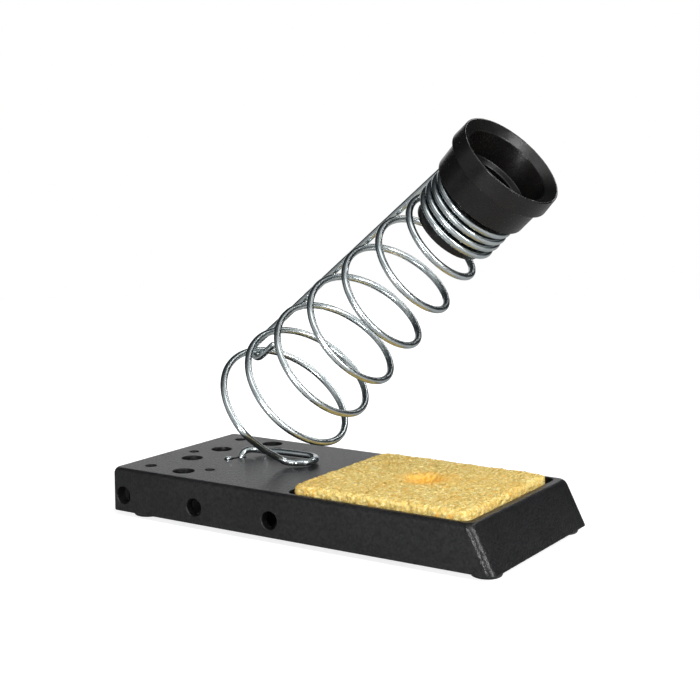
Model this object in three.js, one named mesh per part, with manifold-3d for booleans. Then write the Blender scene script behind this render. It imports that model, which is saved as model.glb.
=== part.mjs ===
// Soldering iron stand: a hollow moulded base with tip-storage holes and a sponge well, and one long
// spring-wire holder that rises from it at 44 degrees and carries a loose moulded funnel in its collar.
//
// Millimetres, +Z up. The origin is the centre of the footprint on the bench. +X runs along the base
// towards the sponge and the sloping end, and the holder's axis climbs over the centre line y = 0.
import * as THREE from 'three';
import { mergeVertices } from 'three/addons/utils/BufferGeometryUtils.js';
import Module from 'manifold-3d';

const wasm = await Module();
wasm.setup();

// ---------------------------------------------------------------- driving dimensions
const GAP = 0.3;                       // air between pieces that rest on each other

const BASE_BOTTOM_LENGTH = 146.16;     // along X at the underside
const BASE_TOP_LENGTH = 138.44;        // the right-hand end slopes in by the difference
const BASE_WIDTH = 70;
const BASE_HEIGHT = 15;                // the moulding alone
const FOOT_DROP = 1.7;                 // underside of the moulding above the bench
const CORNER_LEFT = 1.2;
const CORNER_RIGHT = 2.6;
const EDGE_ROUND = 2;                  // rounding along the two long top edges
const WALL = 3;
const TOP_SKIN = 2.5;

const PLATE_THICKNESS = 2;
const REBATE_INSET = 1.5;
const REBATE_END_INSET = 2.7;          // more at the sloping end, where the wall leans in
const SCREW_X = [-26.7, 46];
const SCREW_Y = 25;
const SCREW_HEAD = { radius: 2.5, height: 0.9 };
const SCREW_SHANK = { radius: 1.25, length: 5.6 };
const BOSS_RADIUS = 3.2;

const FOOT_X = [-63.4, 67.2];
const FOOT_Y = 28;
const FOOT_RADIUS = 4.9;

const WELL = { x: [-2.7, 62.6], y: [-32, 32], depth: 6, corner: 3, shell: 2 };
const SPONGE = { x: [-1.8, 62.0], y: [-30.4, 27.7], proud: 2.6, corner: 3, dimple: 6, dimpleDepth: 2.2 };

const TOP_HOLES = [                    // x, distance either side of the centre line, radius
  { x: -63.8, y: 25.8, r: 2.0 },
  { x: -42.7, y: 19.8, r: 1.7 },
  { x: -49.1, y: 26.1, r: 3.7 },
  { x: -59.4, y: 8.6, r: 3.7 },
  { x: -65.3, y: 0, r: 1.7 },
];
const SIDE_HOLES = { x: [-68.6, -37.8, -7.1], z: 7.4, r: 3.0 };

const WIRE_RADIUS = 1.15;
const WIRE_HOLE_RADIUS = 1.6;
const ROOT_FOOT = new THREE.Vector2(-45.2, 1.8);      // where the wire goes down through the skin
const ROOT_END = new THREE.Vector2(-47.2, -3.3);      // where its cut end comes back up
const ROOT_SLOT = 2;                                // width of the slot that joins the two holes

const HOLDER_ANGLE = THREE.MathUtils.degToRad(44);    // climb of the coil's axis
const TURN_YAW = THREE.MathUtils.degToRad(-7.2);      // the turns face slightly towards the front
const COIL_START = new THREE.Vector3(-25.3, 0, 39);   // centre of the first full turn
const COIL_RADIUS = { root: 22.6, perTurn: -1.41 };
const COIL_PITCH = { ends: 11.4, swell: 5.3 };
const COLLAR = { radius: 13.8, pitch: 2.95, from: 6.15, fade: 0.9, middle: 8.5, end: 9.94 };
const COLLAR_SHIFT = new THREE.Vector3(0.59, 0.4, 0.18);   // the collar sits this far off the open turns
const COIL_PHASE = 0.09;

const FUNNEL = {                       // distances back from the lip along the funnel's own axis
  lip: 21.6,                           // lip ahead of the collar's middle
  lipRadius: 17.8,
  flangeDepth: 5.95, flangeRadius: 18.2,
  bodyDepth: 15.3, bodyTopRadius: 16.7, bodyRadius: 16.35,
  sleeveDepth: 31.9, sleeveRadius: 12.3,
  bevelDepth: 2.1, bevelRadius: 14.3,
  ledgeDepth: 10.4, ledgeRadius: 12.9,
  boreRadius: 10.4,
};
const SIDES = 48;

// ---------------------------------------------------------------- materials
const black = new THREE.MeshStandardMaterial({ color: 0x2b2b2c, roughness: 0.55, metalness: 0 });
const phenolic = new THREE.MeshStandardMaterial({ color: 0x1d1b1a, roughness: 0.35, metalness: 0 });
const plated = new THREE.MeshStandardMaterial({ color: 0xc4c8c9, roughness: 0.18, metalness: 1 });
const steel = new THREE.MeshStandardMaterial({ color: 0x777a7c, roughness: 0.4, metalness: 1 });
const rubber = new THREE.MeshStandardMaterial({ color: 0x141414, roughness: 0.7, metalness: 0 });
const cellulose = new THREE.MeshStandardMaterial({ color: 0xe0bd72, roughness: 0.95, metalness: 0 });

const stand = new THREE.Group();

function piece(name, geometry, material, parent = stand) {
  const mesh = new THREE.Mesh(geometry, material);
  mesh.name = name;
  parent.add(mesh);
  return mesh;
}

// ---------------------------------------------------------------- solids
function solid(geometry) {
  const bare = geometry.clone();
  bare.deleteAttribute('normal');
  bare.deleteAttribute('uv');
  const merged = mergeVertices(bare, 1e-4);
  return new wasm.Manifold(new wasm.Mesh({
    numProp: 3,
    vertProperties: new Float32Array(merged.attributes.position.array),
    triVerts: new Uint32Array(merged.index.array),
  }));
}

function geometryOf(manifold) {
  const mesh = manifold.getMesh();
  const geometry = new THREE.BufferGeometry();
  geometry.setAttribute('position', new THREE.BufferAttribute(mesh.vertProperties, 3));
  geometry.setIndex(new THREE.BufferAttribute(mesh.triVerts, 1));
  geometry.computeVertexNormals();
  return geometry;
}

// Plan outline of a rectangle whose left and right corners have their own radii.
function outline(x0, x1, y0, y1, rLeft, rRight, steps = 5) {
  const shape = [];
  const corners = [
    [x1 - rRight, y0 + rRight, rRight, -90],
    [x1 - rRight, y1 - rRight, rRight, 0],
    [x0 + rLeft, y1 - rLeft, rLeft, 90],
    [x0 + rLeft, y0 + rLeft, rLeft, 180],
  ];
  for (const [cx, cy, r, start] of corners) {
    for (let i = 0; i <= steps; i += 1) {
      const a = THREE.MathUtils.degToRad(start + (90 * i) / steps);
      shape.push(new THREE.Vector2(cx + r * Math.cos(a), cy + r * Math.sin(a)));
    }
  }
  return shape;
}

// A closed solid through a stack of outlines that all have the same number of points.
function loft(levels) {
  const count = levels[0].outline.length;
  const position = [];
  const index = [];
  for (const { outline: ring, z } of levels) {
    for (const p of ring) position.push(p.x, p.y, z);
  }
  for (let k = 0; k < levels.length - 1; k += 1) {
    for (let i = 0; i < count; i += 1) {
      const a = k * count + i;
      const b = k * count + ((i + 1) % count);
      index.push(a, b, b + count, a, b + count, a + count);
    }
  }
  const top = (levels.length - 1) * count;
  for (const [a, b, c] of THREE.ShapeUtils.triangulateShape(levels.at(-1).outline, [])) {
    index.push(top + a, top + b, top + c);
  }
  for (const [a, b, c] of THREE.ShapeUtils.triangulateShape(levels[0].outline, [])) {
    index.push(c, b, a);
  }
  const geometry = new THREE.BufferGeometry();
  geometry.setAttribute('position', new THREE.Float32BufferAttribute(position, 3));
  geometry.setIndex(index);
  return geometry;
}

function slab(x0, x1, y0, y1, z0, z1, rLeft = 0.5, rRight = rLeft) {
  const ring = outline(x0, x1, y0, y1, rLeft, rRight);
  return loft([{ outline: ring, z: z0 }, { outline: ring, z: z1 }]);
}

function cylinder(x, y, z0, z1, r, sides = 24) {
  const geometry = new THREE.CylinderGeometry(r, r, z1 - z0, sides);
  geometry.rotateX(Math.PI / 2);
  geometry.translate(x, y, (z0 + z1) / 2);
  return geometry;
}

// ---------------------------------------------------------------- base moulding
const UNDERSIDE = FOOT_DROP;
const TOP = UNDERSIDE + BASE_HEIGHT;
const LEFT = -BASE_BOTTOM_LENGTH / 2;
const RIGHT_BOTTOM = BASE_BOTTOM_LENGTH / 2;
const RIGHT_TOP = LEFT + BASE_TOP_LENGTH;
const HALF_WIDTH = BASE_WIDTH / 2;
const LEDGE = UNDERSIDE + PLATE_THICKNESS + GAP;      // the bottom plate stops just under it
const WELL_FLOOR = TOP - WELL.depth;

function rightEnd(z) {
  return THREE.MathUtils.mapLinear(z, UNDERSIDE, TOP, RIGHT_BOTTOM, RIGHT_TOP);
}

function outerLevels() {
  const levels = [];
  const level = (z, inset) => levels.push({
    outline: outline(LEFT + inset * 0.2, rightEnd(z) - inset * 0.2, -HALF_WIDTH + inset,
      HALF_WIDTH - inset, CORNER_LEFT, CORNER_RIGHT),
    z,
  });
  level(UNDERSIDE, 0);
  for (let i = 0; i <= 3; i += 1) {
    const a = (Math.PI / 2) * (i / 3);
    level(TOP - EDGE_ROUND * (1 - Math.sin(a)), EDGE_ROUND * (1 - Math.cos(a)));
  }
  return levels;
}

function baseMoulding() {
  const cavityTop = TOP - TOP_SKIN;
  let cavity = solid(slab(LEFT + WALL, RIGHT_TOP - WALL, -HALF_WIDTH + WALL, HALF_WIDTH - WALL,
    LEDGE - 0.5, cavityTop, 2));
  cavity = cavity.subtract(solid(slab(WELL.x[0] - WELL.shell, WELL.x[1] + WELL.shell,
    WELL.y[0] - WELL.shell, WELL.y[1] + WELL.shell, WELL_FLOOR - WELL.shell, TOP + 1, WELL.corner)));
  for (const x of SCREW_X) {
    for (const side of [-1, 1]) {
      cavity = cavity.subtract(solid(cylinder(x, side * SCREW_Y, LEDGE, TOP, BOSS_RADIUS)));
    }
  }

  let body = solid(loft(outerLevels())).subtract(cavity);
  body = body.subtract(solid(slab(LEFT + REBATE_INSET, RIGHT_BOTTOM - REBATE_END_INSET,
    -HALF_WIDTH + REBATE_INSET, HALF_WIDTH - REBATE_INSET, UNDERSIDE - 1, LEDGE, 1.5, 2)));
  body = body.subtract(solid(slab(WELL.x[0], WELL.x[1], WELL.y[0], WELL.y[1], WELL_FLOOR, TOP + 1,
    WELL.corner)));

  const drill = (x, y, r, z0 = cavityTop - 1, z1 = TOP + 1) => {
    body = body.subtract(solid(cylinder(x, y, z0, z1, r)));
  };
  for (const { x, y, r } of TOP_HOLES) {
    for (const side of y === 0 ? [0] : [-1, 1]) drill(x, side * y, r);
  }
  drill(ROOT_FOOT.x, ROOT_FOOT.y, WIRE_HOLE_RADIUS);
  drill(ROOT_END.x, ROOT_END.y, WIRE_HOLE_RADIUS);
  const slot = new THREE.BoxGeometry(ROOT_END.distanceTo(ROOT_FOOT), ROOT_SLOT, 2 * TOP_SKIN + 1);
  slot.rotateZ(ROOT_FOOT.clone().sub(ROOT_END).angle());
  slot.translate((ROOT_FOOT.x + ROOT_END.x) / 2, (ROOT_FOOT.y + ROOT_END.y) / 2, TOP);
  body = body.subtract(solid(slot));
  for (const x of SCREW_X) {
    for (const side of [-1, 1]) drill(x, side * SCREW_Y, SCREW_SHANK.radius + GAP, LEDGE - 1, 9.2);
  }
  for (const x of SIDE_HOLES.x) {
    const bore = new THREE.CylinderGeometry(SIDE_HOLES.r, SIDE_HOLES.r, WALL + 1.2, 24);
    bore.translate(x, -HALF_WIDTH + WALL / 2 - 0.4, SIDE_HOLES.z);
    body = body.subtract(solid(bore));
  }
  return geometryOf(body);
}

function bottomPlate() {
  const inset = REBATE_INSET + GAP;
  const top = UNDERSIDE + PLATE_THICKNESS;
  let plate = solid(slab(LEFT + inset, RIGHT_BOTTOM - REBATE_END_INSET - GAP, -HALF_WIDTH + inset,
    HALF_WIDTH - inset, UNDERSIDE, top, 1.2, 1.7));
  for (const x of SCREW_X) {
    for (const side of [-1, 1]) {
      const y = side * SCREW_Y;
      plate = plate.subtract(solid(cylinder(x, y, UNDERSIDE - 1, top + 1, SCREW_SHANK.radius + GAP)));
      plate = plate.subtract(solid(cylinder(x, y, UNDERSIDE - 1, UNDERSIDE + SCREW_HEAD.height + GAP,
        SCREW_HEAD.radius + GAP)));
    }
  }
  return geometryOf(plate);
}

function turned(profile, sides = SIDES) {
  const points = profile.map(([r, z]) => new THREE.Vector2(r, z));
  const geometry = new THREE.LatheGeometry(points, sides);
  geometry.rotateX(Math.PI / 2);
  return geometry;
}

piece('base_moulding', baseMoulding(), black);
piece('bottom_plate', bottomPlate(), steel);

SCREW_X.forEach((x, i) => {
  [-1, 1].forEach((side) => {
    const { radius, height } = SCREW_HEAD;
    const stem = height + SCREW_SHANK.length;
    const profile = [[0, 0], [radius, 0], [radius, height], [SCREW_SHANK.radius, height],
      [SCREW_SHANK.radius, stem], [0, stem]];
    const name = `plate_screw_${i === 0 ? 'left' : 'right'}_${side < 0 ? 'front' : 'back'}`;
    piece(name, turned(profile, 20), steel).position.set(x, side * SCREW_Y, UNDERSIDE);
  });
});

FOOT_X.forEach((x, i) => {
  [-1, 1].forEach((side) => {
    const height = FOOT_DROP - GAP;
    const profile = [[0, 0], [FOOT_RADIUS - 0.5, 0], [FOOT_RADIUS, 0.4], [FOOT_RADIUS, height], [0, height]];
    const name = `foot_${i === 0 ? 'left' : 'right'}_${side < 0 ? 'front' : 'back'}`;
    piece(name, turned(profile, 28), rubber).position.set(x, side * FOOT_Y, 0);
  });
});

// ---------------------------------------------------------------- sponge
function sponge() {
  const top = TOP + SPONGE.proud;
  const pad = solid(slab(SPONGE.x[0], SPONGE.x[1], SPONGE.y[0], SPONGE.y[1], WELL_FLOOR + GAP, top,
    SPONGE.corner));
  const middle = (SPONGE.x[0] + SPONGE.x[1]) / 2;
  const dimple = solid(cylinder(middle, 0, top - SPONGE.dimpleDepth, top + 1, SPONGE.dimple));
  return geometryOf(pad.subtract(dimple));
}
piece('sponge_pad', sponge(), cellulose);

// ---------------------------------------------------------------- holder wire
// Turn n = 0 is the top of the first full turn, and each whole n after it is the next turn's top.
const climb = new THREE.Vector3(Math.cos(HOLDER_ANGLE), 0, Math.sin(HOLDER_ANGLE));
const turnAxis = new THREE.Vector3(Math.cos(HOLDER_ANGLE) * Math.cos(TURN_YAW),
  Math.cos(HOLDER_ANGLE) * Math.sin(TURN_YAW), Math.sin(HOLDER_ANGLE));
const turnUp = new THREE.Vector3(-Math.sin(HOLDER_ANGLE) * Math.cos(TURN_YAW),
  -Math.sin(HOLDER_ANGLE) * Math.sin(TURN_YAW), Math.cos(HOLDER_ANGLE));
const turnSide = new THREE.Vector3(-Math.sin(TURN_YAW), Math.cos(TURN_YAW), 0);

function collarShare(n) {
  return THREE.MathUtils.smoothstep(n, COLLAR.from - COLLAR.fade, COLLAR.from + COLLAR.fade);
}

function pitchAt(n) {
  const swell = Math.sin((Math.PI * THREE.MathUtils.clamp(n, 0, COLLAR.from)) / COLLAR.from);
  return THREE.MathUtils.lerp(COIL_PITCH.ends + COIL_PITCH.swell * swell, COLLAR.pitch, collarShare(n));
}

// Centre of the coil at turn n: the running sum of the pitch, along the climb in the open turns and
// square to the turns in the collar, so that the collar holds a straight sleeve.
function centreAt(n) {
  const steps = Math.max(1, Math.ceil(Math.abs(n) * 40));
  const dn = n / steps;
  const centre = COIL_START.clone();
  for (let i = 0; i < steps; i += 1) {
    const m = (i + 0.5) * dn;
    centre.addScaledVector(climb.clone().lerp(turnAxis, collarShare(m)), pitchAt(m) * dn);
  }
  return centre.addScaledVector(COLLAR_SHIFT, collarShare(n));
}

function around(angle) {
  return turnUp.clone().multiplyScalar(Math.cos(angle)).addScaledVector(turnSide, Math.sin(angle));
}

function coilPoint(n) {
  const open = COIL_RADIUS.root + COIL_RADIUS.perTurn * n;
  const radius = THREE.MathUtils.lerp(open, COLLAR.radius, collarShare(n));
  return centreAt(n).addScaledVector(around(2 * Math.PI * n + COIL_PHASE), radius);
}

function wire(points, step) {
  const path = new THREE.CatmullRomCurve3(points, false, 'centripetal');
  path.arcLengthDivisions = points.length * 12;
  path.updateArcLengths();
  const section = new THREE.Shape();
  for (let i = 0; i < 8; i += 1) {
    const a = (2 * Math.PI * i) / 8;
    const x = WIRE_RADIUS * Math.cos(a);
    const y = WIRE_RADIUS * Math.sin(a);
    if (i === 0) section.moveTo(x, y);
    else section.lineTo(x, y);
  }
  section.closePath();
  const steps = Math.ceil(path.getLength() / step);
  return new THREE.ExtrudeGeometry(section, { steps, extrudePath: path, bevelEnabled: false });
}

function coilPoints(from, to) {
  const points = [];
  const count = Math.ceil((to - from) * 24);
  for (let i = 0; i <= count; i += 1) points.push(coilPoint(from + ((to - from) * i) / count));
  return points;
}

// The root: the cut end stands in its hole, the wire loops under the skin, comes up through the
// second hole, arches over and lies flat on the top in a long U that ends under the first turn.
const WIRE_Z = TOP + GAP + WIRE_RADIUS;
const LIFT_START = new THREE.Vector3(-20.32, -0.75, WIRE_Z);
const LOOP_CENTRE = TOP - TOP_SKIN - 1.6;

function rootPoints() {
  const points = [];
  points.push(new THREE.Vector3(ROOT_END.x, ROOT_END.y, TOP + 0.8));
  const middle = ROOT_END.clone().add(ROOT_FOOT).multiplyScalar(0.5);
  const reach = ROOT_FOOT.clone().sub(ROOT_END).multiplyScalar(0.5);
  for (let i = 0; i <= 6; i += 1) {
    const a = Math.PI * (i / 6);
    const across = middle.clone().addScaledVector(reach, -Math.cos(a));
    points.push(new THREE.Vector3(across.x, across.y, LOOP_CENTRE - reach.length() * Math.sin(a)));
  }
  points.push(new THREE.Vector3(ROOT_FOOT.x, ROOT_FOOT.y, TOP));
  points.push(new THREE.Vector3(ROOT_FOOT.x + 0.3, ROOT_FOOT.y + 1, WIRE_Z + 0.3));
  points.push(new THREE.Vector3(ROOT_FOOT.x + 0.8, ROOT_FOOT.y + 2.8, WIRE_Z + 0.8));
  points.push(new THREE.Vector3(ROOT_FOOT.x + 2.2, ROOT_FOOT.y + 5.2, WIRE_Z + 0.6));
  points.push(new THREE.Vector3(-40, 9.2, WIRE_Z));
  points.push(new THREE.Vector3(-34.5, 10.8, WIRE_Z));
  points.push(new THREE.Vector3(-28, 11.35, WIRE_Z));
  const bend = { x: -23.28, y: 4.97, r: 6.43 };
  for (let i = 0; i <= 6; i += 1) {
    const a = THREE.MathUtils.degToRad(85 - (145 * i) / 6);
    points.push(new THREE.Vector3(bend.x + bend.r * Math.cos(a), bend.y + bend.r * Math.sin(a), WIRE_Z));
  }
  return points;
}

// The lift: from the U the wire leaves the top and climbs round the front into the first turn.
function liftPoints() {
  return [
    LIFT_START,
    new THREE.Vector3(-22.9, -2.4, WIRE_Z + 0.35),
    new THREE.Vector3(-24.6, -4.6, WIRE_Z + 1.95),
    new THREE.Vector3(-25.3, -8, WIRE_Z + 3.95),
    new THREE.Vector3(-25.4, -12, WIRE_Z + 6.1),
    new THREE.Vector3(-25.46, -17.2, WIRE_Z + 9.49),
  ];
}

piece('wire_root', wire(rootPoints(), 2.6), plated);
piece('coil_lower', wire([...liftPoints(), ...coilPoints(-0.31, 1.99)], 5), plated);
piece('coil_middle', wire(coilPoints(2.0, 4.09), 4.6), plated);
piece('coil_upper', wire(coilPoints(4.1, 6.34), 4), plated);

// The stay: the collar's last turn bends out and back, runs straight down over the crests of the
// turns as a stiffener, and hooks round the first turn.
const STAY_ANGLE = 2 * Math.PI * 0.01 + COIL_PHASE;
const STAY_OFFSET = 2 * WIRE_RADIUS + GAP;
const stayOut = around(STAY_ANGLE);
const hooked = coilPoint(0.01);
const stayLow = hooked.clone().addScaledVector(stayOut, STAY_OFFSET);
const stayHigh = centreAt(10).addScaledVector(stayOut, COLLAR.radius + STAY_OFFSET + 0.1);
const stayDown = stayLow.clone().sub(stayHigh).normalize();

function stayPoints() {
  const points = [];
  const start = coilPoint(COLLAR.end);
  const run = coilPoint(COLLAR.end).sub(coilPoint(COLLAR.end - 0.01)).normalize();
  const first = stayHigh.clone().addScaledVector(stayDown, 4.6);
  const bend = new THREE.CubicBezierCurve3(start.clone().addScaledVector(run, GAP),
    start.clone().addScaledVector(run, 3.4), first.clone().addScaledVector(stayDown, -4.2), first);
  points.push(...bend.getPoints(8));
  const last = stayLow.clone();
  for (let i = 1; i < 12; i += 1) points.push(first.clone().lerp(last, i / 12));
  for (let i = 0; i <= 7; i += 1) {
    const a = Math.PI * (i / 7);
    points.push(hooked.clone().addScaledVector(stayOut, STAY_OFFSET * Math.cos(a))
      .addScaledVector(stayDown, STAY_OFFSET * Math.sin(a)));
  }
  points.push(points.at(-1).clone().addScaledVector(stayDown, -7.4));
  return points;
}

piece('coil_collar', wire(coilPoints(6.35, COLLAR.end), 3.3), plated);
piece('stay_rod', wire(stayPoints(), 3), plated);

// ---------------------------------------------------------------- funnel
const funnel = piece('funnel_insert', turned([
  [FUNNEL.boreRadius, -FUNNEL.sleeveDepth],
  [FUNNEL.sleeveRadius, -FUNNEL.sleeveDepth],
  [FUNNEL.sleeveRadius, -FUNNEL.bodyDepth],
  [FUNNEL.bodyRadius, -FUNNEL.bodyDepth],
  [FUNNEL.bodyTopRadius, -FUNNEL.flangeDepth],
  [FUNNEL.flangeRadius, -FUNNEL.flangeDepth],
  [FUNNEL.lipRadius, 0],
  [FUNNEL.lipRadius - 0.5, 0],
  [FUNNEL.bevelRadius, -FUNNEL.bevelDepth],
  [FUNNEL.ledgeRadius, -FUNNEL.ledgeDepth],
  [FUNNEL.boreRadius, -FUNNEL.ledgeDepth - 0.6],
  [FUNNEL.boreRadius, -FUNNEL.sleeveDepth],
]), phenolic);
funnel.quaternion.setFromUnitVectors(new THREE.Vector3(0, 0, 1), turnAxis);
funnel.position.copy(centreAt(COLLAR.middle)).addScaledVector(turnAxis, FUNNEL.lip);

export default stand;
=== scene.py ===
"""Soldering iron stand: a black moulded base with a cellulose sponge, and a plated spring-wire holder
with a moulded funnel. Blender works in metres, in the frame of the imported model. Lengths that are
written in millimetres are marked so, and MM turns them into metres."""

import math

import bmesh
import bpy
from mathutils import Matrix, Vector, noise


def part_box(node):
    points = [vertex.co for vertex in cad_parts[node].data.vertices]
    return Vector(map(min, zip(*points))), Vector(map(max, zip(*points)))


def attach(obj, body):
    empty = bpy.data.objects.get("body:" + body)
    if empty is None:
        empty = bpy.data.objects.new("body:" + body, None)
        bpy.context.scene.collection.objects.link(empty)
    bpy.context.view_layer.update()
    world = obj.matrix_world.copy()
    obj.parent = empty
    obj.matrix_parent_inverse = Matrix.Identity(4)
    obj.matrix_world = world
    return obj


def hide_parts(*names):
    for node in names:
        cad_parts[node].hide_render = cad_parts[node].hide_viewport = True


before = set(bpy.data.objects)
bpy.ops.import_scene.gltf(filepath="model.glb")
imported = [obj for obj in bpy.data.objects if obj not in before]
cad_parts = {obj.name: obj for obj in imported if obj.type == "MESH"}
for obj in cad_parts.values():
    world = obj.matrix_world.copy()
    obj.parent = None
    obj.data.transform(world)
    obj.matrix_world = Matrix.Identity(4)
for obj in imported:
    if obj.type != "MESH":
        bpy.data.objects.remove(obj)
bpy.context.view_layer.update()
MM = 0.001
UP, FRONT = Vector((0, 0, 1)), Vector((0, -1, 0))

# ---------------------------------------------------------------- dimensions
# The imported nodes' boxes, in metres
BASE_LO, BASE_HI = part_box("base_moulding")
PLATE_LO, PLATE_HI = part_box("bottom_plate")
SPONGE_LO, SPONGE_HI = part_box("sponge_pad")
TOP = BASE_HI.z

# The base moulding, in metres
END_LEAN = 7.72 * MM                            # how far the sloping end leans in from bottom to top
CORNER_LEFT, CORNER_RIGHT = 1.2 * MM, 2.6 * MM  # the upright corners' radii
CORNER_STEPS = 9
EDGE_ROUND, END_ROUND, EDGE_STEPS = 2.0 * MM, 0.5 * MM, 9   # the top's long edges and its two ends
BOTTOM_EDGE = [(0, 0.3 * MM), (0.1 * MM, 0.1 * MM), (0.35 * MM, 0)]     # (height, inset)
WALL, TOP_SKIN, CAVITY_CORNER = 3.0 * MM, 2.5 * MM, 2 * MM
PLATE_GAP, PLATE_CORNER = 0.3 * MM, 1.5 * MM
OVERRUN = 1 * MM                                # how far a cutter reaches past a face

# The openings of the base, in millimetres
WELL = {"x": (-2.7, 62.6), "y": (-32.0, 32.0), "depth": 6.0, "corner": 3.0, "shell": 2.0, "lip": 0.4}
WELL_FOOT = [(0, -0.8), (0.25, -0.25), (0.8, 0)]            # (height over the well's floor, outset)
LIP_STEPS = 4
HOLE_DEPTH = 4.5                                # deeper than the top skin is thick
TOP_HOLES = [                                   # (x, y, radius); a y other than 0 stands for both sides
    (-63.8, 25.8, 2.0), (-42.7, 19.8, 1.7), (-49.1, 26.1, 3.7), (-59.4, 8.6, 3.7), (-65.3, 0.0, 1.7)]
TOP_HOLE_LIP = 0.3
SIDE_HOLES = {"x": (-68.6, -37.8, -7.1), "z": 7.4, "radius": 3.0, "lip": 0.35, "depth": 4.2}
WIRE_HOLE, WIRE_HOLE_LIP = 1.6, 0.2
ROOT_FOOT, ROOT_END = Vector((-45.2, 1.8, 0.0)), Vector((-47.2, -3.3, 0.0))     # the wire's two holes
ROOT_SLOT, SLOT_REACH, SLOT_CORNER = 2.0, 3.0, 0.1          # the slot between them

# Screws and feet, in millimetres
SCREW = [(0, 0.0), (1.3, 0.02), (2.1, 0.16), (2.42, 0.42), (2.5, 0.75), (2.44, 0.9), (1.25, 0.92),
         (1.25, 6.3), (1.05, 6.5), (0, 6.5)]    # (radius, height) from the head's middle to the tip
RECESS_ARM, RECESS_HALF = 1.35, 0.32            # half the length and half the width of the cross recess
RECESS_LOW, RECESS_HIGH, RECESS_CORNER = 0.5, 0.7, 0.1
FOOT_ROUND, FOOT_STEPS, FOOT_GAP = 0.9, 6, 0.05


# ---------------------------------------------------------------- mesh helpers
def mesh_object(name, verts, faces):
    mesh = bpy.data.meshes.new(name)
    mesh.from_pydata([tuple(v) for v in verts], [], faces)
    mesh.validate()
    bm = bmesh.new()
    bm.from_mesh(mesh)
    bmesh.ops.recalc_face_normals(bm, faces=bm.faces)
    bm.to_mesh(mesh)
    bm.free()
    obj = bpy.data.objects.new(name, mesh)
    bpy.context.scene.collection.objects.link(obj)
    return obj


def smooth(obj):
    obj.data.polygons.foreach_set("use_smooth", [True] * len(obj.data.polygons))


def apply_modifiers(obj):
    graph = bpy.context.evaluated_depsgraph_get()
    mesh = bpy.data.meshes.new_from_object(obj.evaluated_get(graph), depsgraph=graph)
    obj.modifiers.clear()
    old, obj.data = obj.data, mesh
    bpy.data.meshes.remove(old)


def cut(obj, cutter):
    """Takes the cutter's solid out of the object and removes the cutter."""
    mod = obj.modifiers.new("cut", "BOOLEAN")
    mod.operation, mod.solver, mod.object = "DIFFERENCE", "EXACT", cutter
    apply_modifiers(obj)
    bpy.data.objects.remove(cutter)


def crisp(obj, degrees, weighted=True):
    """Smooth shading that breaks at edges sharper than the given angle."""
    smooth(obj)
    obj.data.set_sharp_from_angle(angle=math.radians(degrees))
    if weighted:
        mod = obj.modifiers.new("weighted", "WEIGHTED_NORMAL")
        mod.keep_sharp = True
        apply_modifiers(obj)
    return obj


def bevel(obj, width, segments, degrees):
    """Rounds every edge sharper than the given angle."""
    mod = obj.modifiers.new("bevel", "BEVEL")
    mod.width, mod.segments, mod.limit_method = width, segments, "ANGLE"
    mod.angle_limit = math.radians(degrees)
    apply_modifiers(obj)


def quarter(steps, first=0):
    """The angles of a quarter turn taken in equal steps, from step number first on."""
    return [math.pi / 2 * i / steps for i in range(first, steps + 1)]


def outline(x0, x1, y0, y1, left, right):
    """Plan outline of a rectangle whose left and right corners have their own radii."""
    points = []
    for cx, cy, r, start in ((x1 - right, y0 + right, right, -90), (x1 - right, y1 - right, right, 0),
                             (x0 + left, y1 - left, left, 90), (x0 + left, y0 + left, left, 180)):
        for i in range(CORNER_STEPS + 1):
            a = math.radians(start + 90 * i / CORNER_STEPS)
            points.append((cx + r * math.cos(a), cy + r * math.sin(a)))
    return points


def loft(name, levels):
    """A closed solid through a stack of (outline, height) pairs with equal numbers of points."""
    count = len(levels[0][0])
    verts = [(x, y, z) for ring, z in levels for x, y in ring]
    faces = [list(range(count))[::-1]]
    for k in range(len(levels) - 1):
        for i in range(count):
            j = (i + 1) % count
            faces.append([k * count + i, k * count + j, (k + 1) * count + j, (k + 1) * count + i])
    faces.append([(len(levels) - 1) * count + i for i in range(count)])
    return mesh_object(name, verts, faces)


def slab(name, x0, x1, y0, y1, z0, z1, corner):
    """A block with rounded upright corners."""
    ring = outline(x0, x1, y0, y1, corner, corner)
    return loft(name, [(ring, z0), (ring, z1)])


def lathe(name, profile, sides, at, along=UP):
    """Turns a profile of (radius, height) pairs about an axis. A profile that starts and ends at
    radius 0 is closed there; any other is a ring's whole section."""
    turn = UP.rotation_difference(along).to_matrix()
    verts, rings = [], []
    for r, z in profile:
        if r == 0:
            rings.append([len(verts)])
            verts.append(at + turn @ Vector((0, 0, z)))
            continue
        rings.append(list(range(len(verts), len(verts) + sides)))
        for i in range(sides):
            a = 2 * math.pi * i / sides
            verts.append(at + turn @ Vector((r * math.cos(a), r * math.sin(a), z)))
    is_ring = profile[0][0] != 0
    faces = []
    for k in range(len(rings) if is_ring else len(rings) - 1):
        low, high = rings[k], rings[(k + 1) % len(rings)]
        for i in range(sides):
            j = (i + 1) % sides
            face = [low[i % len(low)], low[j % len(low)], high[j % len(high)], high[i % len(high)]]
            faces.append(list(dict.fromkeys(face)))
    return mesh_object(name, verts, faces)


def drill(x, y, z_low, z_high, r, lip, along=UP, sides=40):
    """A cutter for a round hole with a rounded lip at its high end, in millimetres."""
    profile = [(0, z_low), (r, z_low), (r, z_high - lip)]
    for a in quarter(LIP_STEPS, 1):
        profile.append((r + lip * (1 - math.cos(a)), z_high - lip * (1 - math.sin(a))))
    profile += [(r + lip, z_high + OVERRUN / MM), (0, z_high + OVERRUN / MM)]
    scaled = [(pr * MM, pz * MM) for pr, pz in profile]
    return lathe("drill", scaled, sides, Vector((x, y, 0)) * MM, along)


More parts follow.
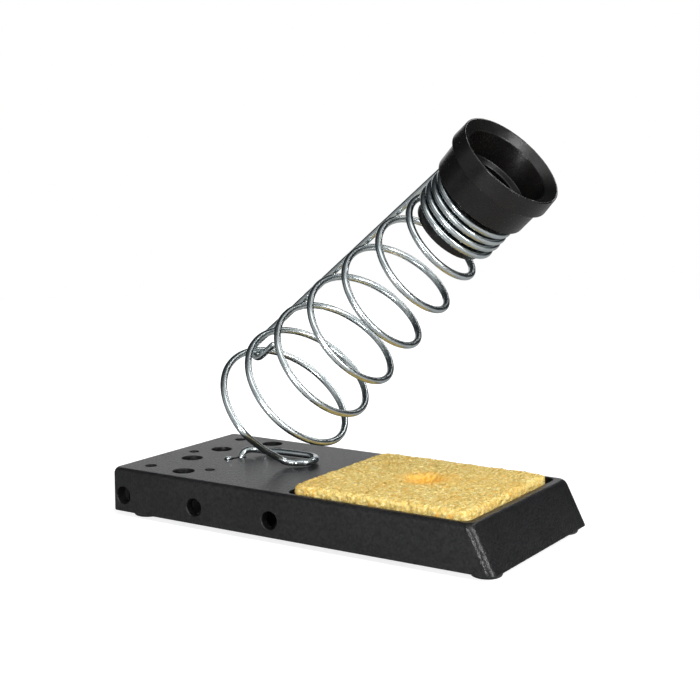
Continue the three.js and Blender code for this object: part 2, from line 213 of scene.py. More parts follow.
# ---------------------------------------------------------------- material helpers
def new_material(name, colour, roughness, metallic=0.0, **sockets):
    mat = bpy.data.materials.new(name)
    mat.use_nodes = True
    shader = mat.node_tree.nodes["Principled BSDF"]
    shader.inputs["Base Color"].default_value = (*colour, 1)
    shader.inputs["Roughness"].default_value = roughness
    shader.inputs["Metallic"].default_value = metallic
    for key, value in sockets.items():
        shader.inputs[key.replace("_", " ")].default_value = value
    return mat


class Nodes:
    """Short ways to add nodes to a material or a world. Scales of noise and cells are per metre."""

    def __init__(self, owner, coordinates="Object"):
        self.tree = owner.node_tree
        self.shader = self.tree.nodes.get("Principled BSDF")
        self.coords = self.add("ShaderNodeTexCoord").outputs[coordinates]

    def add(self, kind, **props):
        node = self.tree.nodes.new(kind)
        for key, value in props.items():
            setattr(node, key, value)
        return node

    def link(self, a, b):
        self.tree.links.new(a, b)

    def give(self, socket, value):
        """Links a socket to another one, or sets its number, vector or colour."""
        if hasattr(value, "links"):
            self.link(value, socket)
        elif socket.type == "RGBA":
            socket.default_value = (*value, 1)
        else:
            socket.default_value = value

    def stretched(self, scale):
        node = self.add("ShaderNodeMapping")
        node.inputs["Scale"].default_value = scale
        self.link(self.coords, node.inputs["Vector"])
        return node.outputs["Vector"]

    def noise(self, scale, detail=4, rough=0.55, vector=None):
        node = self.add("ShaderNodeTexNoise")
        node.inputs["Scale"].default_value = scale
        node.inputs["Detail"].default_value = detail
        node.inputs["Roughness"].default_value = rough
        self.link(vector or self.coords, node.inputs["Vector"])
        return node.outputs["Fac"]

    def cells(self, scale):
        node = self.add("ShaderNodeTexVoronoi")
        node.inputs["Scale"].default_value = scale
        self.link(self.coords, node.inputs["Vector"])
        return node.outputs["Distance"]

    def ramp(self, value, stops):
        """A ramp through (position, colour or grey) stops."""
        node = self.add("ShaderNodeValToRGB")
        elements = node.color_ramp.elements
        while len(elements) < len(stops):
            elements.new(0.5)
        for element, (position, colour) in zip(elements, stops):
            element.position = position
            element.color = (*colour, 1) if hasattr(colour, "__len__") else (colour, colour, colour, 1)
        self.link(value, node.inputs["Fac"])
        return node.outputs["Color"]

    def remap(self, value, low, high, start=0.0):
        """Stretches the range from start to 1 over the range from low to high."""
        node = self.add("ShaderNodeMapRange")
        node.inputs["From Min"].default_value = start
        node.inputs["To Min"].default_value = low
        node.inputs["To Max"].default_value = high
        self.link(value, node.inputs["Value"])
        return node.outputs["Result"]

    def vector(self, operation, *values):
        node = self.add("ShaderNodeVectorMath", operation=operation)
        for socket, value in zip(node.inputs, values):
            self.give(socket, value)
        return node.outputs["Vector" if operation == "ADD" else "Value"]

    def mix(self, factor, a, b, blend="MIX"):
        node = self.add("ShaderNodeMix", data_type="RGBA", blend_type=blend)
        for index, value in ((0, factor), (6, a), (7, b)):      # the node's colour sockets are 6 and 7
            self.give(node.inputs[index], value)
        return node.outputs[2]

    def bump(self, height, distance, strength, under=None):
        node = self.add("ShaderNodeBump")
        node.inputs["Strength"].default_value = strength
        node.inputs["Distance"].default_value = distance
        self.link(height, node.inputs["Height"])
        if under is not None:
            self.link(under, node.inputs["Normal"])
        return node.outputs["Normal"]

    def colour(self, socket):
        self.link(socket, self.shader.inputs["Base Color"])

    def roughness(self, value, low, high):
        self.link(self.remap(value, low, high), self.shader.inputs["Roughness"])

    def normal(self, socket):
        self.link(socket, self.shader.inputs["Normal"])


# ---------------------------------------------------------------- materials
def black_moulding():
    """Black satin plastic with a fine leather-like grain."""
    mat = new_material("black_moulding", (0.008, 0.008, 0.0085), 0.42, Specular_IOR_Level=0.3)
    n = Nodes(mat)
    grain = n.cells(1100)
    fine = n.noise(2600, 3)
    tint = n.ramp(n.noise(42, 4), [(0.3, (0.0102, 0.0102, 0.0108)), (0.7, (0.0162, 0.01605, 0.0165))])
    speckle = n.ramp(n.noise(1100, 3, 0.7), [(0.36, 0.35), (0.62, 1.0)])
    n.colour(n.mix(1.0, tint, speckle, "MULTIPLY"))
    n.roughness(n.noise(900, 3), 0.22, 0.4)
    n.normal(n.bump(fine, 0.0001, 0.8, n.bump(grain, 0.00014, 0.6)))
    return mat


def phenolic():
    """The funnel's hard near-black moulding, slightly uneven in gloss."""
    mat = new_material("funnel_phenolic", (0.005, 0.0045, 0.004), 0.3, Specular_IOR_Level=0.33)
    n = Nodes(mat)
    n.colour(n.ramp(n.noise(60, 5), [(0.3, (0.0022, 0.0021, 0.0021)), (0.72, (0.0075, 0.0066, 0.006))]))
    n.roughness(n.noise(420, 5, 0.65), 0.16, 0.38)
    n.normal(n.bump(n.noise(2600, 3), 0.00003, 0.45, n.bump(n.noise(160, 3), 0.00012, 0.25)))
    return mat


def plated_wire():
    """Bright plating with a faint cool tone, a little uneven along the wire."""
    mat = new_material("plated_wire", (0.52, 0.56, 0.58), 0.2, 1.0)
    n = Nodes(mat)
    n.colour(n.ramp(n.noise(150, 4), [(0.3, (0.44, 0.495, 0.51)), (0.7, (0.58, 0.615, 0.61))]))
    n.roughness(n.noise(1300, 4), 0.17, 0.32)
    n.normal(n.bump(n.noise(900, 2), 0.00001, 0.3, n.bump(n.noise(110, 2), 0.00006, 0.15)))
    return mat


def zinc_steel(name, colour, rough):
    """Zinc-plated steel with fine streaks of rolling or turning."""
    mat = new_material(name, colour, rough, 1.0)
    n = Nodes(mat)
    streaks = n.noise(1, 5, 0.6, n.stretched((60, 2600, 60)))
    dull, bright = [0.82 * c for c in colour], [min(1, 1.1 * c) for c in colour]
    n.colour(n.ramp(streaks, [(0.3, dull), (0.7, bright)]))
    n.roughness(n.noise(240, 4), rough - 0.1, rough + 0.12)
    n.normal(n.bump(streaks, 0.00003, 0.4))
    return mat


def rubber():
    """The feet's black, slightly glossy rubber."""
    mat = new_material("foot_rubber", (0.012, 0.012, 0.012), 0.42)
    n = Nodes(mat)
    n.colour(n.ramp(n.noise(300, 4), [(0.3, (0.009, 0.009, 0.009)), (0.7, (0.018, 0.0178, 0.0175))]))
    n.roughness(n.noise(900, 3), 0.3, 0.52)
    n.normal(n.bump(n.noise(2400, 3), 0.00003, 0.4))
    return mat


def cellulose():
    """Dry yellow sponge: a crumbly base tone with brown patches and specks, pale fibres, an orange glow
    painted in the dip at its middle for light bouncing there, and pores darkened with painted shade."""
    mat = new_material("cellulose", (0.76, 0.54, 0.17), 0.9, Specular_IOR_Level=0.2)
    n = Nodes(mat)
    tone = n.ramp(n.noise(900, 5, 0.75), [(0.32, (0.38, 0.23, 0.05)), (0.46, (0.60, 0.43, 0.115)),
                                         (0.56, (0.71, 0.55, 0.20)), (0.68, (0.86, 0.77, 0.48))])
    patches = n.ramp(n.noise(75, 3, 0.6), [(0.5, 0.0), (0.68, 0.45)])
    tone = n.mix(patches, tone, (0.58, 0.33, 0.06))
    specks = n.ramp(n.noise(420, 3, 0.6), [(0.56, 0.0), (0.66, 0.75)])
    tone = n.mix(specks, tone, (0.70, 0.36, 0.06))
    pale = n.ramp(n.noise(260, 4, 0.7, n.stretched((1, 1, 1.7))), [(0.54, 0.0), (0.7, 0.5)])
    tone = n.mix(pale, tone, (0.71, 0.64, 0.29))
    # An orange glow painted into the dip's hollow, standing in for light bouncing inside it.
    dip_glow_at = ((SPONGE_LO.x + SPONGE_HI.x) / 2 + 0.9 * MM, 0.0, SPONGE_HI.z - 1.2 * MM)
    ragged = n.vector("ADD", n.coords, n.remap(n.noise(260, 3), -3 * MM, 3 * MM))
    dip_glow = n.ramp(n.vector("DISTANCE", ragged, dip_glow_at), [(0.005, 0.85), (0.0098, 0.0)])
    tone = n.mix(dip_glow, tone, (0.84, 0.41, 0.05))
    pores = n.cells(820)
    # The pore cells are darkened in the colour: painted shade inside the open pores.
    pore_shade = n.ramp(pores, [(0.0, (0.55, 0.43, 0.28)), (0.2, (1, 1, 1))])
    n.colour(n.mix(0.7, tone, pore_shade, "MULTIPLY"))
    n.normal(n.bump(n.noise(1500, 4, 0.7), 0.0005, 0.9, n.bump(pores, 0.0005, 0.6)))
    return mat


BLACK, PHENOLIC, PLATED = black_moulding(), phenolic(), plated_wire()
PLATE_STEEL = zinc_steel("plate_steel", (0.52, 0.53, 0.54), 0.38)
SCREW_STEEL = zinc_steel("screw_steel", (0.66, 0.66, 0.64), 0.28)
RUBBER, CELLULOSE = rubber(), cellulose()


def finished(obj, mat, slot, body, *nodes):
    """Gives a piece its material, the body it rides on and the CAD nodes it stands for.
    Its slot is not used.
    """
    obj.data.materials.clear()
    obj.data.materials.append(mat)
    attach(obj, body)
    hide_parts(*nodes)


# ---------------------------------------------------------------- base moulding
def base_outside():
    """The moulding's outer form, with its sloping end and rounded top edges."""
    bottom, half = BASE_LO.z, BASE_HI.y

    def ring(z, side, end):
        lean = END_LEAN * (z - bottom) / (TOP - bottom)
        return outline(BASE_LO.x + end, BASE_HI.x - lean - end, -half + side, half - side,
                       CORNER_LEFT, CORNER_RIGHT), z

    levels = [ring(bottom + height, inset, inset) for height, inset in BOTTOM_EDGE]
    levels.append(ring((bottom + TOP) / 2, 0, 0))
    for a in quarter(EDGE_STEPS):
        levels.append(ring(TOP - EDGE_ROUND * (1 - math.sin(a)), EDGE_ROUND * (1 - math.cos(a)),
                           END_ROUND * (1 - math.cos(a))))
    return loft("base_shell", levels)


def cavity_cutter(well_floor):
    """The hollow under the moulding's top, less the tray that holds the sponge."""
    half, right = BASE_HI.y, BASE_HI.x - END_LEAN
    cavity = slab("cavity", BASE_LO.x + WALL, right - WALL, -half + WALL, half - WALL,
                  BASE_LO.z - 2 * OVERRUN, TOP - TOP_SKIN, CAVITY_CORNER)
    low, high = (WELL["x"][0] - WELL["shell"]) * MM, (WELL["x"][1] + WELL["shell"]) * MM
    front, back = (WELL["y"][0] - WELL["shell"]) * MM, (WELL["y"][1] + WELL["shell"]) * MM
    cut(cavity, slab("tray", low, high, front, back, well_floor - WELL["shell"] * MM, TOP + OVERRUN,
                     WELL["corner"] * MM))
    return cavity


def plate_cutter():
    """The rebate that the bottom plate sits in."""
    return slab("rebate", PLATE_LO.x - PLATE_GAP, PLATE_HI.x + PLATE_GAP, PLATE_LO.y - PLATE_GAP,
                PLATE_HI.y + PLATE_GAP, BASE_LO.z - OVERRUN, PLATE_HI.z + PLATE_GAP, PLATE_CORNER)


def well_cutter(floor):
    """The sponge's well, rounded at its floor and at its lip."""
    x0, x1 = (v * MM for v in WELL["x"])
    y0, y1 = (v * MM for v in WELL["y"])
    corner, lip = WELL["corner"] * MM, WELL["lip"] * MM
    section = [(floor + rise * MM, grow * MM) for rise, grow in WELL_FOOT] + [(TOP - lip, 0)]
    section += [(TOP - lip * (1 - math.sin(a)), lip * (1 - math.cos(a))) for a in quarter(LIP_STEPS, 1)]
    section.append((TOP + OVERRUN, lip))
    return loft("well", [
        (outline(x0 - grow, x1 + grow, y0 - grow, y1 + grow, corner + grow, corner + grow), z)
        for z, grow in section])


def slot_cutter():
    """The slot between the wire's two holes."""
    reach, half_slot = (ROOT_FOOT - ROOT_END) / 2 * MM, ROOT_SLOT / 2 * MM
    slot = slab("slot", -reach.length, reach.length, -half_slot, half_slot,
                TOP - SLOT_REACH * MM, TOP + SLOT_REACH * MM, SLOT_CORNER * MM)
    slot.data.transform(Matrix.Translation((ROOT_FOOT + ROOT_END) / 2 * MM)
                        @ Matrix.Rotation(math.atan2(reach.y, reach.x), 4, "Z"))
    return slot


def base_shell():
    shell = base_outside()
    well_floor = TOP - WELL["depth"] * MM
    cut(shell, cavity_cutter(well_floor))
    cut(shell, plate_cutter())
    cut(shell, well_cutter(well_floor))
    top = TOP / MM
    for x, y, radius in TOP_HOLES:
        for side in ((-1, 1) if y else (1,)):
            cut(shell, drill(x, side * y, top - HOLE_DEPTH, top, radius, TOP_HOLE_LIP))
    for spot in (ROOT_FOOT, ROOT_END):
        cut(shell, drill(spot.x, spot.y, top - HOLE_DEPTH, top, WIRE_HOLE, WIRE_HOLE_LIP, sides=28))
    cut(shell, slot_cutter())
    for x in SIDE_HOLES["x"]:
        hole = drill(0, 0, -SIDE_HOLES["depth"], 0, SIDE_HOLES["radius"], SIDE_HOLES["lip"], FRONT)
        hole.data.transform(Matrix.Translation(Vector((x * MM, -BASE_HI.y, SIDE_HOLES["z"] * MM))))
        cut(shell, hole)
    return crisp(shell, 36)


finished(base_shell(), BLACK, "base", "base", "base_moulding")

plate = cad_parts["bottom_plate"]
plate.data.materials.clear()
plate.data.materials.append(PLATE_STEEL)


# ---------------------------------------------------------------- screws and feet
def screw(name):
    lo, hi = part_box(name)
    centre = (lo + hi) / 2
    at = Vector((centre.x, centre.y, lo.z))
    body = lathe(name + "_body", [(r * MM, z * MM) for r, z in SCREW], 40, at)
    for a, b in ((RECESS_HALF, RECESS_ARM), (RECESS_ARM, RECESS_HALF)):
        cut(body, slab("recess", at.x - a * MM, at.x + a * MM, at.y - b * MM, at.y + b * MM,
                       at.z - RECESS_LOW * MM, at.z + RECESS_HIGH * MM, RECESS_CORNER * MM))
    finished(crisp(body, 40), SCREW_STEEL, "steel", "base", name)


def foot(name):
    """A round pad with a rounded lower edge, from the bench to just under the moulding."""
    lo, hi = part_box(name)
    centre, radius = (lo + hi) / 2, (hi.x - lo.x) / 2
    edge, top = FOOT_ROUND * MM, BASE_LO.z - FOOT_GAP * MM
    profile = [(0, 0.0), (radius - edge, 0.0)]
    for a in quarter(FOOT_STEPS, 1):
        profile.append((radius - edge * (1 - math.sin(a)), edge * (1 - math.cos(a))))
    profile += [(radius, top), (0, top)]
    pad = lathe(name + "_pad", profile, 64, Vector((centre.x, centre.y, 0)))
    finished(crisp(pad, 40), RUBBER, "rubber_foot", "base", name)


for node in sorted(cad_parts):
    if node.startswith("plate_screw_"):
        screw(node)
    elif node.startswith("foot_"):
        foot(node)

# ---------------------------------------------------------------- wire
# The wire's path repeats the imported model's own, in millimetres. Turn n = 0 is the top of the coil's
# first full turn; n grows along the coil towards the funnel.
WIRE_RADIUS, WIRE_SIDES, WIRE_END = 1.15, 20, 0.22          # WIRE_END is how far a cut end is broken
WIRE_Z = TOP / MM + 0.3 + WIRE_RADIUS                       # the middle of the wire that lies on the base
HOLDER_ANGLE, TURN_YAW = math.radians(44), math.radians(-7.2)
COIL_START, COIL_FROM, COIL_STEPS, COIL_PHASE = Vector((-25.3, 0, 39)), -0.31, 24, 0.09
CENTRE_STEPS = 40                                           # for each turn, in adding up the pitch
COIL_ROOT_RADIUS, COIL_TAPER = 22.6, -1.41
PITCH_ENDS, PITCH_SWELL = 11.4, 5.3
COLLAR = {"radius": 13.8, "pitch": 2.95, "from": 6.15, "fade": 0.9, "middle": 8.5, "end": 9.94}
COLLAR_SHIFT = Vector((0.59, 0.4, 0.18))

CLIMB = Vector((math.cos(HOLDER_ANGLE), 0, math.sin(HOLDER_ANGLE)))
TURN_AXIS = Vector((math.cos(HOLDER_ANGLE) * math.cos(TURN_YAW), math.cos(HOLDER_ANGLE) * math.sin(TURN_YAW),
                    math.sin(HOLDER_ANGLE)))
TURN_UP = Vector((-math.sin(HOLDER_ANGLE) * math.cos(TURN_YAW), -math.sin(HOLDER_ANGLE) * math.sin(TURN_YAW),
                  math.cos(HOLDER_ANGLE)))
TURN_SIDE = Vector((-math.sin(TURN_YAW), math.cos(TURN_YAW), 0))

# The root: a loop under the top through the two holes, a bend, a run and a U on top of the base
ROOT_LOOP_DROP, ROOT_END_RISE, ROOT_LOOP_STEPS = 1.6, 0.8, 6
ROOT_BEND = [(0.3, 1.0, 0.3), (0.8, 2.8, 0.8), (2.2, 5.2, 0.6)]         # from the hole, and over WIRE_Z
ROOT_RUN = [(-40.0, 9.2), (-34.5, 10.8), (-28.0, 11.35)]
ROOT_U = {"x": -23.28, "y": 4.97, "radius": 6.43, "from": 85, "turn": -145, "steps": 6}
LIFT = [(-20.32, -0.75, 0.0), (-22.9, -2.4, 0.35), (-24.6, -4.6, 1.95), (-25.3, -8.0, 3.95),
        (-25.4, -12.0, 6.1), (-25.46, -17.2, 9.49)]                     # (x, y, height over WIRE_Z)
SEAM_SHARE = 0.4        # each end at the cut in the U grows by this share of the gap between their points
SEAM_END = 0.02

# The stay rod: a bend out of the collar's last turn, a straight rod and a hook round the first turn
HOOK_TURN, HOOK_GAP, HOOK_STEPS, HOOK_TAIL = 0.01, 0.3, 7, 7.4
STAY_TOP_TURN, STAY_TOP_GAP = 10, 0.1
STAY_BEND = {"leave": 0.3, "out": 3.4, "in": 4.2, "length": 4.6, "steps": 8}
STAY_STEPS = 12


def collar_share(n):
    """0 in the open coil and 1 in the close-wound collar, with a smooth change between them."""
    x = min(1, max(0, (n - COLLAR["from"] + COLLAR["fade"]) / (2 * COLLAR["fade"])))
    return x * x * (3 - 2 * x)


def pitch_at(n):
    swell = math.sin(math.pi * min(max(n, 0), COLLAR["from"]) / COLLAR["from"])
    open_pitch = PITCH_ENDS + PITCH_SWELL * swell
    return open_pitch + (COLLAR["pitch"] - open_pitch) * collar_share(n)


def centre_at(n):
    steps = max(1, math.ceil(abs(n) * CENTRE_STEPS))
    dn = n / steps
    centre = COIL_START.copy()
    for i in range(steps):
        m = (i + 0.5) * dn
        centre += CLIMB.lerp(TURN_AXIS, collar_share(m)) * pitch_at(m) * dn
    return centre + COLLAR_SHIFT * collar_share(n)


def around(angle):
    return TURN_UP * math.cos(angle) + TURN_SIDE * math.sin(angle)


def coil_point(n):
    radius = COIL_ROOT_RADIUS + COIL_TAPER * n
    radius += (COLLAR["radius"] - radius) * collar_share(n)
    return centre_at(n) + around(2 * math.pi * n + COIL_PHASE) * radius


def coil_points():
    turns = COLLAR["end"] - COIL_FROM
    count = round(turns * COIL_STEPS)
    return [coil_point(COIL_FROM + turns * i / count) for i in range(count + 1)]


def root_points():
    top = TOP / MM
    loop = top - TOP_SKIN / MM - ROOT_LOOP_DROP
    middle, reach = (ROOT_END + ROOT_FOOT) / 2, (ROOT_FOOT - ROOT_END) / 2
    points = [Vector((ROOT_END.x, ROOT_END.y, top + ROOT_END_RISE))]
    for i in range(ROOT_LOOP_STEPS + 1):
        a = math.pi * i / ROOT_LOOP_STEPS
        across = middle - reach * math.cos(a)
        points.append(Vector((across.x, across.y, loop - reach.length * math.sin(a))))
    points.append(Vector((ROOT_FOOT.x, ROOT_FOOT.y, top)))
    for dx, dy, dz in ROOT_BEND:
        points.append(Vector((ROOT_FOOT.x + dx, ROOT_FOOT.y + dy, WIRE_Z + dz)))
    points += [Vector((x, y, WIRE_Z)) for x, y in ROOT_RUN]
    for i in range(ROOT_U["steps"] + 1):
        a = math.radians(ROOT_U["from"] + ROOT_U["turn"] * i / ROOT_U["steps"])
        points.append(Vector((ROOT_U["x"] + ROOT_U["radius"] * math.cos(a),
                              ROOT_U["y"] + ROOT_U["radius"] * math.sin(a), WIRE_Z)))
    return points


def lift_points():
    return [Vector((x, y, WIRE_Z + z)) for x, y, z in LIFT]


def bezier(b0, b1, b2, b3, steps):
    points = []
    for i in range(steps + 1):
        t = i / steps
        points.append(b0 * (1 - t)**3 + b1 * 3 * t * (1 - t)**2 + b2 * 3 * t * t * (1 - t) + b3 * t**3)
    return points


def stay_points():
    out = around(2 * math.pi * HOOK_TURN + COIL_PHASE)
    offset = 2 * WIRE_RADIUS + HOOK_GAP
    hooked = coil_point(HOOK_TURN)
    low = hooked + out * offset
    high = centre_at(STAY_TOP_TURN) + out * (COLLAR["radius"] + offset + STAY_TOP_GAP)
    down = (low - high).normalized()
    start = coil_point(COLLAR["end"])
    run = (start - coil_point(COLLAR["end"] - 0.01)).normalized()
    first = high + down * STAY_BEND["length"]
    points = bezier(start + run * STAY_BEND["leave"], start + run * STAY_BEND["out"],
                    first - down * STAY_BEND["in"], first, STAY_BEND["steps"])
    points += [first.lerp(low, i / STAY_STEPS) for i in range(1, STAY_STEPS)]
    for i in range(HOOK_STEPS + 1):
        a = math.pi * i / HOOK_STEPS
        points.append(hooked + out * (offset * math.cos(a)) + down * (offset * math.sin(a)))
    return points + [points[-1] - down * HOOK_TAIL]


def spline(points, step):
    """A centripetal Catmull-Rom curve through the points, sampled about every step."""
    ends = [points[0] * 2 - points[1], *points, points[-1] * 2 - points[-2]]
    samples = []
    for p0, p1, p2, p3 in zip(ends, ends[1:], ends[2:], ends[3:]):
        d0, d1, d2 = ((b - a).length ** 0.5 for a, b in ((p0, p1), (p1, p2), (p2, p3)))
        t1 = ((p1 - p0) / d0 - (p2 - p0) / (d0 + d1) + (p2 - p1) / d1) * d1
        t2 = ((p2 - p1) / d1 - (p3 - p1) / (d1 + d2) + (p3 - p2) / d2) * d1
        count = max(1, round((p2 - p1).length / step))
        for i in range(count):
            t = i / count
            samples.append(p1 * (2 * t**3 - 3 * t**2 + 1) + t1 * (t**3 - 2 * t**2 + t)
                           + p2 * (3 * t**2 - 2 * t**3) + t2 * (t**3 - t**2))
    return samples + [points[-1]]


def tube(name, path, first=WIRE_END, last=WIRE_END, first_along=None, last_along=None):
    """A round wire along the path. first and last are how far its ends are broken at the edge, and
    first_along and last_along are the directions that its end faces look along, if not the path's own."""
    before, after = [path[0], *path[:-1]], [*path[1:], path[-1]]
    tangents = [(b - a).normalized() for a, b in zip(before, after)]
    tangents[0], tangents[-1] = first_along or tangents[0], last_along or tangents[-1]
    side = tangents[0].orthogonal().normalized()
    rings = []
    for i, (p, t) in enumerate(zip(path, tangents)):
        side = (side - t * side.dot(t)).normalized()
        grow = [(0.0, WIRE_RADIUS)]
        if i == 0:
            grow = [(0.0, WIRE_RADIUS - first), (first * 0.35, WIRE_RADIUS - first * 0.35),
                    (first, WIRE_RADIUS)]
        elif i == len(path) - 1:
            grow = [(-last, WIRE_RADIUS), (-last * 0.35, WIRE_RADIUS - last * 0.35),
                    (0.0, WIRE_RADIUS - last)]
        for shift, r in grow:
            rings.append((p + t * shift, side.copy(), t.cross(side), r))
    verts, faces = [], []
    for p, u, v, r in rings:
        for k in range(WIRE_SIDES):
            a = 2 * math.pi * k / WIRE_SIDES
            verts.append((p + (u * math.cos(a) + v * math.sin(a)) * r) * MM)
    for i in range(len(rings) - 1):
        low, high = i * WIRE_SIDES, (i + 1) * WIRE_SIDES
        for k in range(WIRE_SIDES):
            j = (k + 1) % WIRE_SIDES
            faces.append([low + k, low + j, high + j, high + k])
    end = (len(rings) - 1) * WIRE_SIDES
    faces += [list(range(WIRE_SIDES))[::-1], [end + k for k in range(WIRE_SIDES)]]
    return crisp(mesh_object(name, verts, faces), 50, False)


def wire():
    """One length of wire in two pieces, parted where the holder's hinge is. The two end faces there
    are parallel and look straight at each other."""
    root, holder = root_points(), lift_points() + coil_points() + stay_points()
    between = (holder[0] - root[-1]) * SEAM_SHARE
    root[-1], holder[0] = root[-1] + between, holder[0] - between
    seam = between.normalized()
    finished(tube("wire_root_run", spline(root, 0.6), last=SEAM_END, last_along=seam), PLATED,
             "plated_wire", "base", "wire_root")
    finished(tube("wire_holder", spline(holder, 0.7), first=SEAM_END, first_along=seam), PLATED,
             "plated_wire", "holder", "coil_lower", "coil_middle", "coil_upper", "coil_collar", "stay_rod")


wire()

# ---------------------------------------------------------------- funnel
# (radius, distance back from the lip) round the whole section, in millimetres, from the sleeve's back
# inner edge
FUNNEL = [(10.4, 31.9), (12.3, 31.9), (12.3, 15.3), (16.35, 15.3), (16.7, 5.95), (18.2, 5.95), (17.8, 0.0),
          (17.3, 0.0), (14.3, 2.1), (12.9, 10.4), (10.4, 11.0)]
LIP_AHEAD = 21.6        # from the collar's middle to the funnel's lip


def funnel():
    lip = centre_at(COLLAR["middle"]) + TURN_AXIS * LIP_AHEAD
    body = lathe("funnel_body", [(r * MM, -back * MM) for r, back in FUNNEL], 144, lip * MM, TURN_AXIS)
    bevel(body, 0.3 * MM, 3, 28)
    finished(crisp(body, 40), PHENOLIC, "funnel", "funnel", "funnel_insert")


funnel()

# ---------------------------------------------------------------- sponge
# In millimetres. Scales of noise are per millimetre. mathutils.noise gives the same value each run.
PAD_INSET, PAD_CORNER, PAD_ROUND = 0.3, 2.8, 1.7
PAD_FOOT_INSET, PAD_FOOT_RISE = 0.5, 0.3
PAD_UNDER, PAD_OVER = 0.1, 0.2                  # room kept inside the CAD solid below and above
VOXEL = 0.36
DIP_RADIUS, DIP_DEPTH = 7.4, 2.1                # the dip pressed into the top's middle
SHIFT_MOST = 0.3


def pad_form():
    """The pad's plain block, with its top edge rounded over."""
    lo, hi = SPONGE_LO, SPONGE_HI
    low, high = lo.z + PAD_UNDER * MM, hi.z - PAD_OVER * MM
    section = [(PAD_FOOT_INSET, low), (PAD_INSET, low + PAD_FOOT_RISE * MM)]
    for a in quarter(5):
        section.append((PAD_INSET + PAD_ROUND * (1 - math.cos(a)), high - PAD_ROUND * MM * (1 - math.sin(a))))
    return loft("sponge_cellulose", [
        (outline(lo.x + inset * MM, hi.x - inset * MM, lo.y + inset * MM, hi.y - inset * MM,
                 PAD_CORNER * MM, PAD_CORNER * MM), z) for inset, z in section])


def crumbled(p, normal):
    """How far a point of the pad's skin moves out: slow swells, fine crumbs, open pores, ragged edges."""
    swell = noise.noise(p * 0.16) * 0.2
    crumb = noise.noise(p * 0.8) * 0.26 + noise.noise(p * 1.7 + Vector((7, 3, 1))) * 0.3
    near = noise.voronoi(p * 0.55)[0][0]
    pore = -0.7 * max(0, 1 - near / 0.42) ** 1.5
    edge = max(0, min(1, 1.2 - abs(normal.z)))
    ragged = noise.noise(p * 0.7 + Vector((11, 5, 2))) * 0.45 * edge
    crumb *= 1 - 0.5 * edge
    under = normal.z < -0.5
    return min(SHIFT_MOST, swell + crumb + pore + ragged) * (0.25 if under else 1)


def sponge():
    pad = pad_form()
    mod = pad.modifiers.new("remesh", "REMESH")
    mod.mode, mod.voxel_size = "VOXEL", VOXEL * MM
    apply_modifiers(pad)
    vertices = pad.data.vertices
    middle = (SPONGE_LO + SPONGE_HI) / 2
    normals = [v.normal.copy() for v in vertices]
    for v, normal in zip(vertices, normals):
        shift = crumbled(v.co / MM, normal)
        reach = math.hypot(v.co.x - middle.x, v.co.y) / (DIP_RADIUS * MM)
        bowl = 0.5 + 0.5 * math.cos(math.pi * min(1, reach) ** 1.4)
        sink = DIP_DEPTH * bowl if normal.z > 0.3 else 0
        v.co += normal * shift * MM - Vector((0, 0, sink * MM))
    smooth(pad)
    finished(pad, CELLULOSE, "sponge", "sponge", "sponge_pad")


sponge()

# ---------------------------------------------------------------- stage, light and camera
# Everything from here on is in metres. Azimuth 0 is straight in front of the stand's long side.
FLOOR_RADIUS, FLOOR_SIDES = 0.75, 96
LIGHT_AIM = Vector((0, 0, 0.05))
LIGHTS = [      # (name, azimuth in degrees, distance, height, (width, height) of its face, power)
    ("key", 28, 0.5, 1.0, (0.7, 0.5), 2.2),
    ("over_right", 96, 0.45, 0.85, (0.9, 0.6), 1.8),
    ("fill", -40, 1.1, 0.5, (0.9, 0.7), 0.7),
    ("back", 212, 0.8, 0.2, (0.7, 0.3), 0.64),
    ("left_strip", 13, 0.7, 0.16, (0.015, 0.3), 4.2),
    ("right_strip", 80, 0.7, 0.36, (0.12, 0.4), 4.2),
    ("high_right", 66, 0.7, 0.6, (0.4, 0.3), 1.6),
    ("high_back", 160, 0.6, 0.55, (0.2, 0.2), 1.0),
]
ROOM_BRIGHT_SIDE = (0.53, -0.84, 0.1)           # the direction that the room is lightest in
ROOM_TONES = [(0.35, (0.022, 0.025, 0.028)), (0.9, (0.3, 0.315, 0.33))]
LENS, SENSOR, SHIFT = 71.0, 36.0, (0.0064, -0.0054)     # lens and sensor in mm, shift as a share
CAMERA_AT = (0.24448, -0.38476, 0.12500)
CAMERA_LOOKS = Vector((-0.5313, 0.8354, -0.1406))


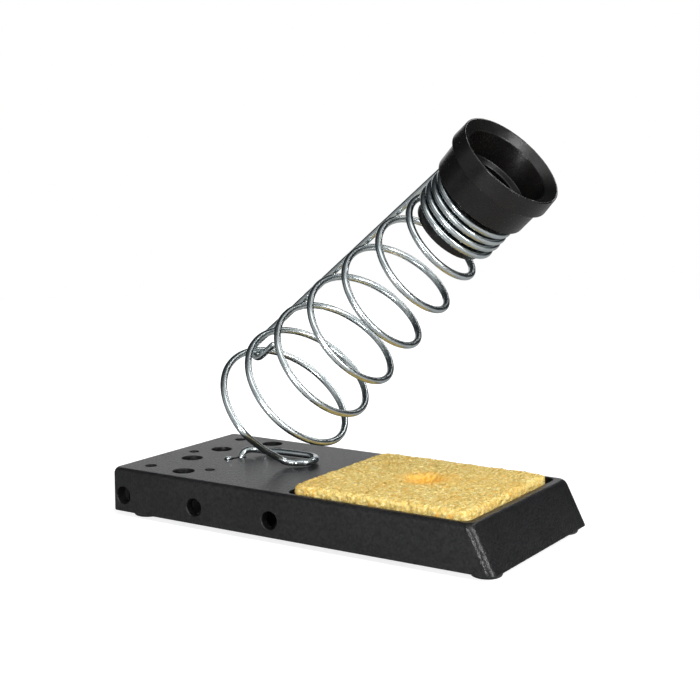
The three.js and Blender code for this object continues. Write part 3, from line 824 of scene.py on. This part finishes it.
def stage():
    """A round pale table top, nearly white to the camera and dim to everything else."""
    turn = 2 * math.pi / FLOOR_SIDES
    rim = [(FLOOR_RADIUS * math.cos(turn * i), FLOOR_RADIUS * math.sin(turn * i), 0)
           for i in range(FLOOR_SIDES)]
    floor = mesh_object("floor", rim, [list(range(FLOOR_SIDES))])
    mat = new_material("pale_floor", (0.42, 0.42, 0.42), 0.8, Specular_IOR_Level=0.1)
    n = Nodes(mat)
    glow = n.ramp(n.vector("LENGTH", n.coords), [(0.05, 0.74), (0.17, 0.95)])
    n.link(glow, n.shader.inputs["Emission Color"])
    seen = n.add("ShaderNodeLightPath").outputs["Is Camera Ray"]
    n.link(n.remap(seen, 0.03, 1.0), n.shader.inputs["Emission Strength"])
    floor.data.materials.append(mat)


def soft_box(name, azimuth, distance, height, size, power):
    """A rectangular light that looks at the stand and that the camera doesn't see."""
    data = bpy.data.lights.new(name, "AREA")
    data.shape, data.size, data.size_y = "RECTANGLE", size[0], size[1]
    data.energy = power
    light = bpy.data.objects.new(name, data)
    a = math.radians(azimuth)
    light.location = (math.sin(a) * distance, -math.cos(a) * distance, height)
    light.rotation_euler = (LIGHT_AIM - light.location).to_track_quat("-Z", "Y").to_euler()
    light.visible_camera = False
    bpy.context.scene.collection.objects.link(light)


def room():
    """A plain white background to the camera, and a dim room to everything else, so that the bright
    wire has something dark to show."""
    world = bpy.data.worlds.new("studio")
    bpy.context.scene.world = world
    world.use_nodes = True
    n = Nodes(world, "Generated")
    facing = n.vector("DOT_PRODUCT", n.coords, ROOM_BRIGHT_SIDE)
    dim = n.tree.nodes["Background"]
    n.link(n.ramp(n.remap(facing, 0.0, 1.0, start=-1.0), ROOM_TONES), dim.inputs["Color"])
    plain = n.add("ShaderNodeBackground")
    plain.inputs["Color"].default_value = (1, 1, 1, 1)
    choose = n.add("ShaderNodeMixShader")
    n.link(n.add("ShaderNodeLightPath").outputs["Is Camera Ray"], choose.inputs[0])
    n.link(dim.outputs[0], choose.inputs[1])
    n.link(plain.outputs[0], choose.inputs[2])
    n.link(choose.outputs[0], n.tree.nodes["World Output"].inputs["Surface"])


def camera():
    """The camera, at the photograph's viewing angle."""
    data = bpy.data.cameras.new("camera")
    data.lens, data.sensor_width = LENS, SENSOR
    data.shift_x, data.shift_y = SHIFT
    data.clip_start, data.clip_end = 0.01, 50
    cam = bpy.data.objects.new("camera", data)
    cam.location = CAMERA_AT
    cam.rotation_mode = "QUATERNION"
    cam.rotation_quaternion = CAMERA_LOOKS.to_track_quat("-Z", "Y")
    bpy.context.scene.collection.objects.link(cam)
    bpy.context.scene.camera = cam


stage()
room()
for row in LIGHTS:
    soft_box(*row)
camera()
bpy.context.scene.view_settings.view_transform = "Standard"
